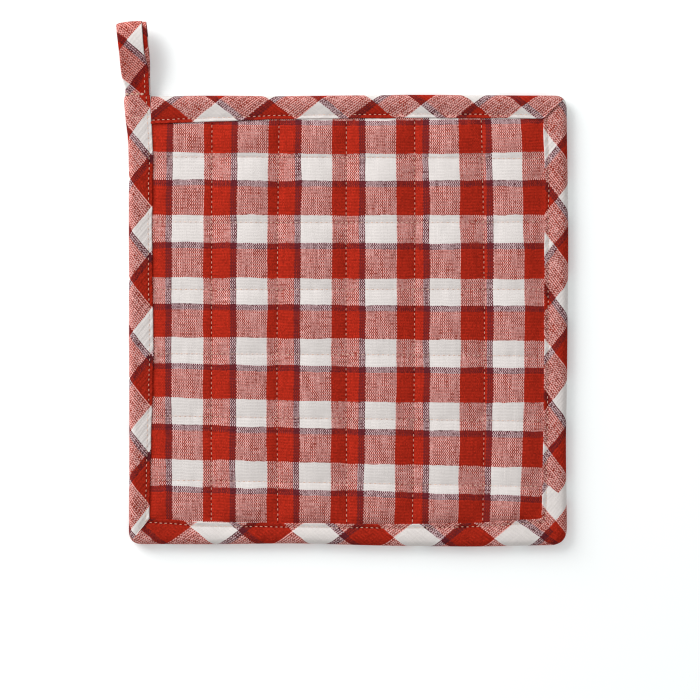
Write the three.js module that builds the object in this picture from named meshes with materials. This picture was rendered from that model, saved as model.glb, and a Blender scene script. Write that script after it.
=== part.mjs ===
// A square quilted pot holder, lying flat on its back: a padded pad, sewn through in a grid of
// stitched channels, a bias binding folded over its raw edges, and a hanging loop that is the tail
// of that binding, turned back on itself at one corner.
// Units are millimetres. The front faces +Z and its top edge lies towards +Y. Sizes are drawn from
// the pad's middle, and the whole part is then set on the middle of its own box, at floor height.

import * as THREE from "three";
import { mergeVertices } from "three/addons/utils/BufferGeometryUtils.js";

// Driving sizes of the pad: the filled cloth between the two faces.
const PAD_CROWN = 6.6; // height of the highest puff of the front
const FRONT_CHANNEL = 1.7; // how far the stitching draws the front down
const BACK_CHANNEL = 0.7; // how far the stitching draws the back up
const PUFF_FULLNESS = 0.62; // under 1, so that a puff rises steeply beside its stitching
const BACK_FLAT_FROM = 0.6; // the back lies flat on the table where a puff is at least this full
const CHANNEL_MARGIN = 0.7; // bare cloth between the binding and the first puff

// Driving sizes of the binding: one folded tape that wraps the edge as a U.
const TAPE = 1.0; // thickness of the folded tape
const BINDING_HEIGHT = 5.8; // outside height of the U
const FIT = 0.3; // clearance that neighbouring pieces keep
const PAD_EDGE_INSET = 3.3; // how far the pad stops short of the outer edge
const PAD_CORNER_TUCK = 3.2; // how far each corner of the pad is trimmed back
const BACK_FLAP_SHARE = 0.94; // the back flap is a little narrower than the front one
const INNER_CORNER_RADIUS = 1.3;

// Driving sizes of the hanging loop: the tape closed to its full thickness.
const LOOP_TAPE = 1.6;
const LOOP_REACH = 32.8; // from the corner to the far side of the fold
const LOOP_SHOULDER = 25; // from the corner to where the legs run into the fold
const LOOP_ARCH = 9.3; // height of the middle of the front leg over the opening
const LOOP_LIFT = 1.2; // how steeply the front leg leaves the corner
const LOOP_FOLD_SLANT = 1.6; // how much further the right end of the fold reaches

// Where the edges run, side by side and clockwise from the top left: along is the place on the
// side, outer the folded edge of the binding, and inner the sewn edge of its front flap.
const SIDES = {
  top: [
    { along: -92, outer: 103.6, inner: 90.6 },
    { along: -64, outer: 104.0, inner: 91.7 },
    { along: -30, outer: 103.7, inner: 92.9 },
    { along: 30, outer: 104.4, inner: 93.1 },
    { along: 90, outer: 104.0, inner: 93.0 },
  ],
  right: [
    { along: 93, outer: 101.0, inner: 90.1 },
    { along: 70, outer: 101.4, inner: 91.1 },
    { along: 35, outer: 101.8, inner: 90.9 },
    { along: -25, outer: 101.2, inner: 90.7 },
    { along: -58, outer: 100.6, inner: 90.3 },
    { along: -92, outer: 101.1, inner: 89.5 },
  ],
  bottom: [
    { along: 90, outer: -104.0, inner: -91.7 },
    { along: 60, outer: -104.6, inner: -93.9 },
    { along: 20, outer: -104.2, inner: -94.5 },
    { along: -25, outer: -103.0, inner: -93.9 },
    { along: -65, outer: -103.5, inner: -93.7 },
    { along: -92, outer: -103.4, inner: -91.6 },
  ],
  left: [
    { along: -92, outer: -101.5, inner: -91.9 },
    { along: -58, outer: -101.3, inner: -91.2 },
    { along: -20, outer: -101.4, inner: -89.9 },
    { along: 40, outer: -101.5, inner: -90.7 },
    { along: 78, outer: -101.7, inner: -90.1 },
    { along: 90, outer: -102.6, inner: -90.7 },
    { along: 104, outer: -103.8, inner: -91.7 },
  ],
};
// The turned corners of the outer edge; the fourth is where the binding starts and ends.
const CORNER_RADIUS = { topRight: 6.0, bottomRight: 8.3, bottomLeft: 6.2 };

// Stitched channels: those that run up the pad, by x at its top and bottom, and those that run
// across it, by y at its left and right.
const CHANNELS_UP = [
  { top: -62.6, bottom: -63.3 },
  { top: -31.6, bottom: -32.3 },
  { top: -0.4, bottom: -0.9 },
  { top: 30.9, bottom: 29.8 },
  { top: 61.6, bottom: 62.3 },
];
const CHANNELS_ACROSS = [
  { left: -73.9, right: -77.4 },
  { left: -44.2, right: -46.9 },
  { left: -15.6, right: -16.9 },
  { left: 14.2, right: 13.9 },
  { left: 45.5, right: 45.4 },
  { left: 75.5, right: 74.4 },
];
// Grid lines inside one puff, as shares of its width: close beside the stitching, wide on top.
const PUFF_LINES = [0, 0.09, 0.27, 0.5, 0.73, 0.91];

// Outline of the hanging loop seen from the front, by its distance from the corner.
const LOOP_EDGES = [
  { along: 0, left: -103.8, right: -91.7 },
  { along: 16, left: -105.1, right: -91.7 },
  { along: LOOP_REACH, left: -106.8, right: -93.0 },
];

// The value of one column of a table at a place along it, straight between its rows.
function readTable(rows, key, column, at) {
  const rising = rows[rows.length - 1][key] > rows[0][key];
  const ordered = rising ? rows : [...rows].reverse();
  const next = ordered.findIndex((row) => row[key] >= at);
  if (next === 0) return ordered[0][column];
  if (next < 0) return ordered[ordered.length - 1][column];
  const [low, high] = [ordered[next - 1], ordered[next]];
  const share = (at - low[key]) / (high[key] - low[key]);
  return THREE.MathUtils.lerp(low[column], high[column], share);
}

const outerEdge = (side, along) => readTable(SIDES[side], "along", "outer", along);
const innerEdge = (side, along) => readTable(SIDES[side], "along", "inner", along);

// A closed block of cloth, bent into shape: place(column, row, upper) gives each point from its
// shares of the block's two directions and from the face that it lies on.
function bentBlock(columns, rows, place) {
  const block = new THREE.BoxGeometry(1, 1, 1, columns, rows, 1);
  block.deleteAttribute("normal");
  block.deleteAttribute("uv");
  const solid = mergeVertices(block);
  const points = solid.getAttribute("position");
  for (let i = 0; i < points.count; i += 1) {
    const point = place(points.getX(i) + 0.5, points.getY(i) + 0.5, points.getZ(i) > 0);
    points.setXYZ(i, point.x, point.y, point.z);
  }
  solid.computeVertexNormals();
  return solid;
}

function clothMesh(name, geometry, colour) {
  const material = new THREE.MeshStandardMaterial({ color: colour, roughness: 0.92, metalness: 0 });
  const mesh = new THREE.Mesh(geometry, material);
  mesh.name = name;
  return mesh;
}

// The quilted pad. Its grid has one rim strip under the binding on each side, and between them the
// lines of each puff.
const FLAP_ROOM_BELOW = TAPE + FIT;
const FLAP_ROOM_ABOVE = BINDING_HEIGHT - TAPE - FIT;
const closestEdge = (...sides) =>
  Math.min(...sides.flatMap((side) => SIDES[side].map((row) => Math.abs(row.outer))));
const PAD_RIGHT = closestEdge("left", "right") - PAD_EDGE_INSET;
const PAD_TOP = closestEdge("top", "bottom") - PAD_EDGE_INSET;

// A grid line's cell, numbered from the rim strip at 0, and its share of that cell.
function gridLine(index, cells) {
  if (index === 0) return { cell: 0, share: 0 };
  const inside = index - 1;
  const cell = Math.floor(inside / PUFF_LINES.length);
  if (cell === cells) return { cell: cells + 1, share: inside - cells * PUFF_LINES.length };
  return { cell: cell + 1, share: PUFF_LINES[inside % PUFF_LINES.length] };
}

const isRim = ({ cell, share }, cells) => cell === 0 || cell > cells || (cell === 1 && share === 0);
const linesFor = (cells) => cells * PUFF_LINES.length + 2;

// How full the pad is at a share of one puff's width: nothing in the stitching, one on the crown.
function fullness({ cell, share }, cells) {
  if (cell === 0 || cell > cells) return 0;
  return Math.sin(Math.PI * share) ** PUFF_FULLNESS;
}

function quiltedPad() {
  const cellsAcross = CHANNELS_UP.length + 1;
  const cellsUp = CHANNELS_ACROSS.length + 1;
  const columns = linesFor(cellsAcross);
  const rows = linesFor(cellsUp);

  // The borders of all cells from left to right at height y, and from the bottom up at place x.
  const bordersAt = (y) => [
    -PAD_RIGHT,
    innerEdge("left", y) + CHANNEL_MARGIN,
    ...CHANNELS_UP.map((line) => THREE.MathUtils.mapLinear(y, PAD_TOP, -PAD_TOP, line.top, line.bottom)),
    innerEdge("right", y) - CHANNEL_MARGIN,
    PAD_RIGHT,
  ];
  const levelsAt = (x) => [
    -PAD_TOP,
    innerEdge("bottom", x) + CHANNEL_MARGIN,
    ...CHANNELS_ACROSS.map((line) =>
      THREE.MathUtils.mapLinear(x, -PAD_RIGHT, PAD_RIGHT, line.left, line.right),
    ),
    innerEdge("top", x) - CHANNEL_MARGIN,
    PAD_TOP,
  ];
  const between = (borders, { cell, share }) =>
    THREE.MathUtils.lerp(borders[cell], borders[Math.min(cell + 1, borders.length - 1)], share);

  const geometry = bentBlock(columns, rows, (columnShare, rowShare, upper) => {
    const column = gridLine(Math.round(columnShare * columns), cellsAcross);
    const row = gridLine(Math.round(rowShare * rows), cellsUp);
    const x = between(bordersAt(between(levelsAt(0), row)), column);
    const y = between(levelsAt(x), row);
    const corner =
      (columnShare === 0 || columnShare === 1) && (rowShare === 0 || rowShare === 1);
    const tuck = corner ? PAD_CORNER_TUCK : 0;
    const full = fullness(column, cellsAcross) * fullness(row, cellsUp);
    const underBinding = isRim(column, cellsAcross) || isRim(row, cellsUp);
    const frontSeam = underBinding ? FLAP_ROOM_ABOVE : PAD_CROWN - FRONT_CHANNEL;
    const backSeam = underBinding ? FLAP_ROOM_BELOW : BACK_CHANNEL;
    const z = upper
      ? THREE.MathUtils.lerp(frontSeam, PAD_CROWN, full)
      : Math.max(0, backSeam * (1 - full / BACK_FLAT_FROM));
    return new THREE.Vector3(x - Math.sign(x) * tuck, y - Math.sign(y) * tuck, z);
  });
  return clothMesh("quilted_pad", geometry, 0xb7432f);
}

// The bias binding. A station of the tape is the pair of points where its folded edge and its sewn
// edge lie, and the U between them is drawn once and carried along all stations.
const STEPS_PER_SIDE = 11;
const STEPS_PER_CORNER = 5;
const STEPS_ON_FLAP = 3;
const STEPS_ON_FOLD = 6;

// A side runs along x at the top and bottom, and along y at the left and right.
function sidePoint(side, along, across) {
  const level = side === "top" || side === "bottom";
  return level ? new THREE.Vector2(along, across) : new THREE.Vector2(across, along);
}

// Stations down one straight side, given where its folded and its sewn edge begin and end.
function sideStations(side, outerFrom, outerTo, innerFrom, innerTo) {
  const stations = [];
  for (let step = 0; step <= STEPS_PER_SIDE; step += 1) {
    const share = step / STEPS_PER_SIDE;
    const outerAt = THREE.MathUtils.lerp(outerFrom, outerTo, share);
    const innerAt = THREE.MathUtils.lerp(innerFrom, innerTo, share);
    stations.push({
      outer: sidePoint(side, outerAt, outerEdge(side, outerAt)),
      inner: sidePoint(side, innerAt, innerEdge(side, innerAt)),
    });
  }
  return stations;
}

// The round turn from the end of one run of an edge to the start of the next, about its corner.
function turn(from, to, corner, share) {
  const curve = new THREE.QuadraticBezierCurve(from, corner, to);
  return curve.getPoint(share);
}

function cornerStations(before, after, sharpOuter, sharpInner) {
  const stations = [];
  for (let step = 1; step < STEPS_PER_CORNER; step += 1) {
    const share = step / STEPS_PER_CORNER;
    stations.push({
      outer: turn(before.outer, after.outer, sharpOuter, share),
      inner: turn(before.inner, after.inner, sharpInner, share),
    });
  }
  return stations;
}

// The sharp corner at which an upright and a level side would meet, by one row of each.
const sharpCorner = (upright, level, edge) => new THREE.Vector2(upright[edge], level[edge]);

function bindingStations() {
  const { top: topRows, right: rightRows, bottom: bottomRows, left: leftRows } = SIDES;
  const corners = {
    topRight: [rightRows[0], topRows.at(-1)],
    bottomRight: [rightRows.at(-1), bottomRows[0]],
    bottomLeft: [leftRows[0], bottomRows.at(-1)],
  };
  const outer = {};
  const inner = {};
  for (const [name, [upright, level]] of Object.entries(corners)) {
    outer[name] = sharpCorner(upright, level, "outer");
    inner[name] = sharpCorner(upright, level, "inner");
  }
  const r = CORNER_RADIUS;
  const q = INNER_CORNER_RADIUS;
  const [start] = topRows;
  const top = sideStations(
    "top",
    innerEdge("left", start.outer) + FIT,
    outer.topRight.x - r.topRight,
    innerEdge("left", start.inner) + FIT,
    inner.topRight.x - q,
  );
  const right = sideStations(
    "right",
    outer.topRight.y - r.topRight,
    outer.bottomRight.y + r.bottomRight,
    inner.topRight.y - q,
    inner.bottomRight.y + q,
  );
  const bottom = sideStations(
    "bottom",
    outer.bottomRight.x - r.bottomRight,
    outer.bottomLeft.x + r.bottomLeft,
    inner.bottomRight.x - q,
    inner.bottomLeft.x + q,
  );
  const left = sideStations(
    "left",
    outer.bottomLeft.y + r.bottomLeft,
    start.outer,
    inner.bottomLeft.y + q,
    start.outer,
  );
  const between = (before, after, corner) =>
    cornerStations(before.at(-1), after[0], outer[corner], inner[corner]);
  return [
    ...top,
    ...between(top, right, "topRight"),
    ...right,
    ...between(right, bottom, "bottomRight"),
    ...bottom,
    ...between(bottom, left, "bottomLeft"),
    ...left,
  ];
}

// The U of the tape from the sewn edge of its front flap, round the fold, to that of its back flap.
// A point is its distance inwards from the folded edge, as a share of the flap, and its height.
function bindingSection(flapWidth) {
  const radius = BINDING_HEIGHT / 2;
  const points = [];
  for (let step = 0; step <= STEPS_ON_FLAP; step += 1) {
    const inwards = THREE.MathUtils.lerp(flapWidth, radius, step / STEPS_ON_FLAP);
    points.push({ inwards, angle: Math.PI / 2 });
  }
  for (let step = 1; step < STEPS_ON_FOLD; step += 1) {
    points.push({ inwards: radius, angle: Math.PI / 2 + (Math.PI * step) / STEPS_ON_FOLD });
  }
  for (let step = 0; step <= STEPS_ON_FLAP; step += 1) {
    const inwards = THREE.MathUtils.lerp(radius, flapWidth * BACK_FLAP_SHARE, step / STEPS_ON_FLAP);
    points.push({ inwards, angle: (3 * Math.PI) / 2 });
  }
  return points;
}

function biasBinding() {
  const stations = bindingStations();
  const middle = BINDING_HEIGHT / 2;
  const sectionSteps = 2 * STEPS_ON_FLAP + STEPS_ON_FOLD;
  const geometry = bentBlock(stations.length - 1, sectionSteps, (alongShare, aroundShare, outside) => {
    const { outer, inner } = stations[Math.round(alongShare * (stations.length - 1))];
    const flapWidth = outer.distanceTo(inner);
    const { inwards, angle } = bindingSection(flapWidth)[Math.round(aroundShare * sectionSteps)];
    const radius = outside ? middle : middle - TAPE;
    const depth = inwards + radius * Math.cos(angle);
    const place = outer.clone().lerp(inner, depth / flapWidth);
    return new THREE.Vector3(place.x, place.y, middle + radius * Math.sin(angle));
  });
  return clothMesh("bias_binding", geometry, 0xc26a58);
}

// The hanging loop. Its front leg rises from the front flap at the corner, folds over at the top,
// and its back leg lies on the table and returns to the back flap.
const LOOP_FRONT_HEIGHT = BINDING_HEIGHT - LOOP_TAPE / 2;
const LOOP_BACK_HEIGHT = LOOP_TAPE / 2;
const LOOP_STEPS = 34;
const LOOP_STEPS_WIDE = 3;

// The middle of the tape, seen from the side: up the front leg, round the fold, down the back leg.
function loopPath() {
  const tip = LOOP_REACH - LOOP_TAPE / 2;
  const foldMiddle = (LOOP_ARCH + LOOP_BACK_HEIGHT) / 2;
  const foldPull = (LOOP_ARCH - LOOP_BACK_HEIGHT) / 3;
  const point = (along, height) => new THREE.Vector3(0, along, height);
  const shoulder = point(LOOP_SHOULDER, LOOP_ARCH);
  const fold = point(tip, foldMiddle);
  const heel = point(LOOP_SHOULDER, LOOP_BACK_HEIGHT);
  const path = new THREE.CurvePath();
  path.add(
    new THREE.CubicBezierCurve3(
      point(0, LOOP_FRONT_HEIGHT),
      point(LOOP_SHOULDER / 3, LOOP_FRONT_HEIGHT + LOOP_LIFT),
      point((LOOP_SHOULDER * 2) / 3, LOOP_ARCH),
      shoulder,
    ),
  );
  path.add(
    new THREE.CubicBezierCurve3(
      shoulder,
      point(tip - foldPull, LOOP_ARCH),
      point(tip, foldMiddle + foldPull),
      fold,
    ),
  );
  path.add(
    new THREE.CubicBezierCurve3(
      fold,
      point(tip, foldMiddle - foldPull),
      point(tip - foldPull, LOOP_BACK_HEIGHT),
      heel,
    ),
  );
  path.add(new THREE.LineCurve3(heel, point(0, LOOP_BACK_HEIGHT)));
  return path;
}

function hangingLoop() {
  const path = loopPath();
  const cornerTop = SIDES.top[0].outer + FIT;
  const geometry = bentBlock(LOOP_STEPS_WIDE, LOOP_STEPS, (across, alongShare, outside) => {
    const on = path.getPointAt(alongShare);
    const heading = path.getTangentAt(alongShare);
    const outwards = (outside ? 0.5 : -0.5) * LOOP_TAPE;
    const along = on.y - outwards * heading.z;
    const left = readTable(LOOP_EDGES, "along", "left", on.y);
    const right = readTable(LOOP_EDGES, "along", "right", on.y);
    const slant = (across - 0.5) * LOOP_FOLD_SLANT * (on.y / LOOP_REACH);
    return new THREE.Vector3(
      THREE.MathUtils.lerp(left, right, across),
      cornerTop + along + slant,
      on.z + outwards * heading.y,
    );
  });
  return clothMesh("hanging_loop", geometry, 0xbd5a48);
}

const potHolder = new THREE.Group();
const laidOut = new THREE.Group();
laidOut.add(quiltedPad(), biasBinding(), hangingLoop());
const box = new THREE.Box3().setFromObject(laidOut, true);
const middle = box.getCenter(new THREE.Vector3());
laidOut.position.set(-middle.x, -middle.y, -box.min.z);
potHolder.add(laidOut);

export default potHolder;
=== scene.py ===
import bpy
import numpy as np
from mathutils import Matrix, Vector


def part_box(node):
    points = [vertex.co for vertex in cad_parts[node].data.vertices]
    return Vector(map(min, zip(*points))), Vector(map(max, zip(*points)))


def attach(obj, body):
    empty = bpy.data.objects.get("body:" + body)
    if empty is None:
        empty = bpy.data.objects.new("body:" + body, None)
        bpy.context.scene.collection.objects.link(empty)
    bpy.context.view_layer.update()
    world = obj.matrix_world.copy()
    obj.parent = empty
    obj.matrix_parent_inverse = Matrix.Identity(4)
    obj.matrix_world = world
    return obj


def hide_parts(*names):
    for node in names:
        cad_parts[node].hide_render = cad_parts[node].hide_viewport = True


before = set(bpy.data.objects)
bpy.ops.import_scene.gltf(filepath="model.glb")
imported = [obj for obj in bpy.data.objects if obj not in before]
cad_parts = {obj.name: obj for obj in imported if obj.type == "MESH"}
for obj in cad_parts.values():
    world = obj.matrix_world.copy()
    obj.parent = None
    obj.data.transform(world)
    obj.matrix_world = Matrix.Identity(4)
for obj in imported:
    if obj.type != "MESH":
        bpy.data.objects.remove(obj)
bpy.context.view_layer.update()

# The quilted pad: two faces of checked plain-weave cotton with one layer of wadding between them.
# It is sewn through from front to back along a grid of lines, so each square stands up as a soft
# puff between its stitching. Its raw edges lie inside the binding.
MM = 0.001
pad_low, pad_high = (np.array(corner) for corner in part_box("quilted_pad"))
PAD_MIDDLE = (pad_low + pad_high) / 2
HALF_WIDE, HALF_TALL = ((pad_high - pad_low) / 2 / MM)[:2]

# Sizes in millimetres. The left column of puffs is lower and flatter than the others.
PUFF_COLUMNS = 6
PUFF_ROWS = 7
PUFF_WIDTH = 30.0
PAD_CROWN = 6.6
PUFF_FULLNESS = 0.8
LEFT_FULLNESS = 0.45
LEFT_PLATEAU = 0.6
UP_LINE_DEPTH = 2.5
ACROSS_LINE_DEPTH = 1.25
BACK_SEAM = 0.7
BACK_FLAT_FROM = 0.6
EDGE_MARGIN = 0.3
RIM_TOP = 4.45
RIM_BOTTOM = 1.3
RIM_REACH = 2.0
LEFT_RIM_DROP = 0.4
LEFT_RIM_REACH = 6.0
PUCKER_HEIGHT = 0.24
PUCKER_LENGTHS = (4.6, 7.3, 12.0)
PUCKER_REACH = 3.2
PUCKER_LINES = 12
PUFF_UNEVENNESS = 0.15
RUMPLE_HEIGHT = 0.25
RUMPLE_LENGTH = 19
RUMPLE_WAVES = 9
RUMPLE_SPREAD = (0.7, 1.4)
STITCH_PITCH = 2.33
NO_SEAM = 9.0
# The grid of points: its lines to a puff and to a rim strip, and how far they gather at the stitching.
CELL_LINES = 26
RIM_LINES = 3
GATHERED = 0.55

# Each side of the binding in millimetres from the pad's middle: the folded edge is its outer edge,
# and the inner edge is where its front flap is sewn down.
EDGES = {
    "top": {
        "along": [-92, -64, -30, 30, 90],
        "outer": [103.6, 104.0, 103.7, 104.4, 104.0],
        "inner": [90.6, 91.7, 92.9, 93.5, 93.2],
    },
    "right": {
        "along": [-92, -58, -25, 35, 70, 93],
        "outer": [101.4, 100.9, 101.5, 102.1, 101.7, 101.3],
        "inner": [89.5, 90.3, 90.7, 90.9, 91.1, 90.1],
    },
    "bottom": {
        "along": [-92, -65, -25, 20, 60, 90],
        "outer": [-103.8, -103.9, -103.4, -104.6, -105.0, -104.3],
        "inner": [-91.6, -93.7, -93.9, -94.5, -93.9, -91.7],
    },
    "left": {
        "along": [-92, -58, -20, 40, 78, 90, 98, 104],
        "outer": [-101.5, -101.3, -101.4, -101.5, -101.6, -102.2, -104.2, -104.0],
        "inner": [-91.9, -91.2, -89.9, -90.7, -90.1, -90.7, -91.3, -91.7],
    },
}
EDGE_SOFTNESS = (-8, -4, 0, 4, 8)
# The quilting lines, which bow a little: those up the pad by x, those across it by y.
LINES_UP = {
    "bottom": [-63.3, -32.4, -0.6, 29.7, 62.2],
    "middle": [-63.2, -32.8, -0.9, 30.8, 63.1],
    "top": [-62.9, -31.7, -0.7, 30.8, 61.5],
}
LINES_ACROSS = {
    "left": [-73.9, -44.2, -15.6, 14.1, 45.5, 75.4],
    "middle": [-75.4, -45.6, -16.0, 14.2, 45.1, 75.2],
    "right": [-77.3, -46.9, -16.8, 14.2, 45.5, 74.5],
}
# The check: a repeat has 62 fine warp ends, white, red and then dark, and 41 thicker weft picks, white,
# dark and then red. The tables give the left edges of the white warp bands and the top edges of the
# white weft bands, as the cloth happens to lie, at the middle and so far to either side of it.
WARP_REPEAT = 62
WHITE_ENDS = 30
RED_ENDS = 26
WEFT_REPEAT = 41
WHITE_PICKS = 18
DARK_PICKS = 4
WARP_EDGES = {
    "bottom": [-81.5, -51.9, -22.5, 7.3, 37.35, 66.1],
    "middle": [-81.6, -51.7, -22.25, 8.05, 37.75, 67.25],
    "top": [-81.2, -51.2, -21.7, 7.95, 37.45, 66.5],
}
WARP_TABLE_REACH = 73
WEFT_EDGES = {
    "left": [77.6, 48.6, 19.7, -8.0, -35.9, -64.5],
    "middle": [76.8, 48.4, 19.1, -8.7, -37.7, -66.3],
    "right": [77.4, 48.5, 19.0, -9.5, -38.2, -68.0],
}
WEFT_TABLE_REACH = 74
BAND_WAVE = 0.5
BAND_WAVE_LENGTH = 24
TOP_DRAW = 0.85
TOP_DRAW_REACH = 1.5


def placed(x, y, z):
    """Points in metres in the shared frame, from millimetres off the pad's middle and the table."""
    return np.stack(
        np.broadcast_arrays(PAD_MIDDLE[0] + x * MM, PAD_MIDDLE[1] + y * MM, z * MM), axis=-1
    )


def edge(side, column, along):
    """An edge's place at points along its side: the table read straight between its rows, and
    averaged over a short stretch so that the cloth turns softly from row to row."""
    rows = EDGES[side]
    reads = [np.interp(along + shift, rows["along"], rows[column]) for shift in EDGE_SOFTNESS]
    return np.mean(reads, axis=0)


def bowed(first, middle, last, share):
    """One parabola for each row of three values, which it meets at shares -1, 0 and 1."""
    shape = (-1,) + (1,) * np.ndim(share)
    first, middle, last = (np.reshape(values, shape) for values in (first, middle, last))
    return middle + (last - first) / 2 * share + ((first + last) / 2 - middle) * share**2


def borders_across(y):
    """The x of every border at height y, from the pad's left edge through its lines to the right."""
    lines = bowed(LINES_UP["bottom"], LINES_UP["middle"], LINES_UP["top"], y / HALF_TALL)
    left = edge("left", "inner", y) + EDGE_MARGIN
    right = edge("right", "inner", y) - EDGE_MARGIN
    return np.stack([np.full_like(y, -HALF_WIDE), left, *lines, right, np.full_like(y, HALF_WIDE)])


def borders_up(x):
    """The y of every border at place x, from the pad's bottom edge through its lines to the top."""
    lines = bowed(LINES_ACROSS["left"], LINES_ACROSS["middle"], LINES_ACROSS["right"], x / HALF_WIDE)
    bottom = edge("bottom", "inner", x) + EDGE_MARGIN
    top = edge("top", "inner", x) - EDGE_MARGIN
    return np.stack([np.full_like(x, -HALF_TALL), bottom, *lines, top, np.full_like(x, HALF_TALL)])


def grid_lines(cells):
    """The cell of each grid line and its share of that cell: a rim strip, the puffs with lines
    gathered by a cosine beside their stitching, and the other rim strip."""
    even = np.linspace(0, 1, CELL_LINES, endpoint=False)
    gathered = (1 - GATHERED) * even + GATHERED * (0.5 - 0.5 * np.cos(np.pi * even))
    cell = [np.zeros(RIM_LINES), 1 + np.repeat(np.arange(cells), CELL_LINES)]
    share = [np.arange(RIM_LINES) / RIM_LINES, np.tile(gathered, cells)]
    cell.append(np.full(RIM_LINES + 1, cells + 1))
    share.append(np.arange(RIM_LINES + 1) / RIM_LINES)
    return np.concatenate(cell).astype(int), np.concatenate(share)


def puff(cell, share, cells):
    """How far a line stands up: none in the stitching and the rim, rising as a power of a sine."""
    inside = (cell >= 1) & (cell <= cells)
    return np.where(inside, np.sin(np.pi * share) ** PUFF_FULLNESS, 0)


def edge_dip(cell, share, cells):
    """How far the binding's stitching draws the first and the last cell down: all the way beside it,
    and falling off exponentially within a few millimetres."""
    fade = np.where(cell == 1, np.exp(-share * PUFF_WIDTH / RIM_REACH), 0)
    fade = np.where(cell == cells, np.exp(-(1 - share) * PUFF_WIDTH / RIM_REACH), fade)
    return np.where((cell < 1) | (cell > cells), 1, fade)


def puckers(along, cell, share, seed):
    """Small ripples that run into a stitched line: waves along it, of three lengths and with a
    start of their own for each line, which fade within a few millimetres to its sides."""
    line = cell + (share > 0.5)
    kinds = len(PUCKER_LENGTHS)
    starts = np.random.default_rng(seed).uniform(0, 2 * np.pi, (kinds, PUCKER_LINES))[:, line]
    lengths = np.reshape(PUCKER_LENGTHS, (kinds, 1, 1))
    waves = np.sin(2 * np.pi * along / lengths + starts[:, None, :]).mean(axis=0)
    fade = np.exp(-np.minimum(share, 1 - share) * PUFF_WIDTH / PUCKER_REACH)
    return waves * fade


def rumple(x, y, length, seed):
    """A gentle unevenness: the mean of nine plane waves of about one length in all directions."""
    draw = np.random.default_rng(seed)
    turn = draw.uniform(0, np.pi, RUMPLE_WAVES)
    pace = 2 * np.pi / (length * draw.uniform(*RUMPLE_SPREAD, RUMPLE_WAVES))
    start = draw.uniform(0, 2 * np.pi, RUMPLE_WAVES)
    waves = [
        np.sin(p * (x * np.cos(t) + y * np.sin(t)) + s) for t, p, s in zip(turn, pace, start)
    ]
    return np.mean(waves, axis=0)


def yarn_count(at, knots, repeat):
    """Yarns counted across the cloth: one repeat from each band edge to the next, each at its own
    pace, and on at the last pace beyond the outer edges."""
    widths = np.diff(knots, axis=0)
    count = np.minimum(at - knots[0], widths[0]) / widths[0]
    for low, width in zip(knots[1:-2], widths[1:-1]):
        count = count + np.clip(at - low, 0, width) / width
    count = count + np.maximum(at - knots[-2], 0) / widths[-1]
    return count * repeat


def check_counts(x, y):
    """Warp and weft yarns at points of the pad, so that the check lies where it does on the cloth,
    with its bands a little wavy, and the last yarns drawn together under the top binding."""
    drawn = TOP_DRAW * np.exp(-np.abs(edge("top", "inner", x) - y) / TOP_DRAW_REACH)
    wave_x = BAND_WAVE * rumple(x, y, BAND_WAVE_LENGTH, seed=31)
    wave_y = BAND_WAVE * rumple(x, y, BAND_WAVE_LENGTH, seed=32)
    x, y = x + wave_x, y + wave_y + drawn
    up = y / WARP_TABLE_REACH
    across = x / WEFT_TABLE_REACH
    warp = bowed(WARP_EDGES["bottom"], WARP_EDGES["middle"], WARP_EDGES["top"], up)
    weft = bowed(WEFT_EDGES["left"], WEFT_EDGES["middle"], WEFT_EDGES["right"], across)
    return np.stack(
        [yarn_count(x, warp, WARP_REPEAT), yarn_count(-y, -weft, WEFT_REPEAT)], axis=-1
    )


def seam_map(across, along, cell, share, cells):
    """Where points lie beside the nearest quilting line: how far off it, and how many stitches along
    it. The lines run down the grid's columns, and the binding's edges are none of them."""
    border = np.clip(cell + (share > 0.5), 1, cells + 1)
    line = RIM_LINES + CELL_LINES * (border - 1)
    off = np.where((border > 1) & (border <= cells), np.abs(across - across[:, line]), NO_SEAM)
    steps = np.hypot(np.diff(across, axis=0), np.diff(along, axis=0))
    run = np.concatenate([np.zeros((1, across.shape[1])), np.cumsum(steps, axis=0)])
    run = run - run[RIM_LINES]
    return np.stack([off, run[:, line] / STITCH_PITCH], axis=-1)


def grid_faces(number):
    """Four-cornered faces of a grid of numbered points, anticlockwise where rows go up and columns
    to the right."""
    corners = [number[:-1, :-1], number[:-1, 1:], number[1:, 1:], number[1:, :-1]]
    return np.stack(corners, axis=-1).reshape(-1, 4)


def make_piece(name, points, faces, material, corner_maps):
    """A smooth mesh from points and faces, with named UV maps that give a pair for each corner."""
    mesh = bpy.data.meshes.new(name)
    mesh.from_pydata(np.reshape(points, (-1, 3)).tolist(), [], faces)
    for map_name, pairs in corner_maps.items():
        layer = mesh.uv_layers.new(name=map_name)
        layer.data.foreach_set("uv", np.ravel(pairs).astype(np.float32))
    mesh.polygons.foreach_set("use_smooth", np.ones(len(mesh.polygons), dtype=bool))
    mesh.materials.append(material)
    mesh.update()
    mesh.validate()
    piece = bpy.data.objects.new(name, mesh)
    bpy.context.scene.collection.objects.link(piece)
    return piece


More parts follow.
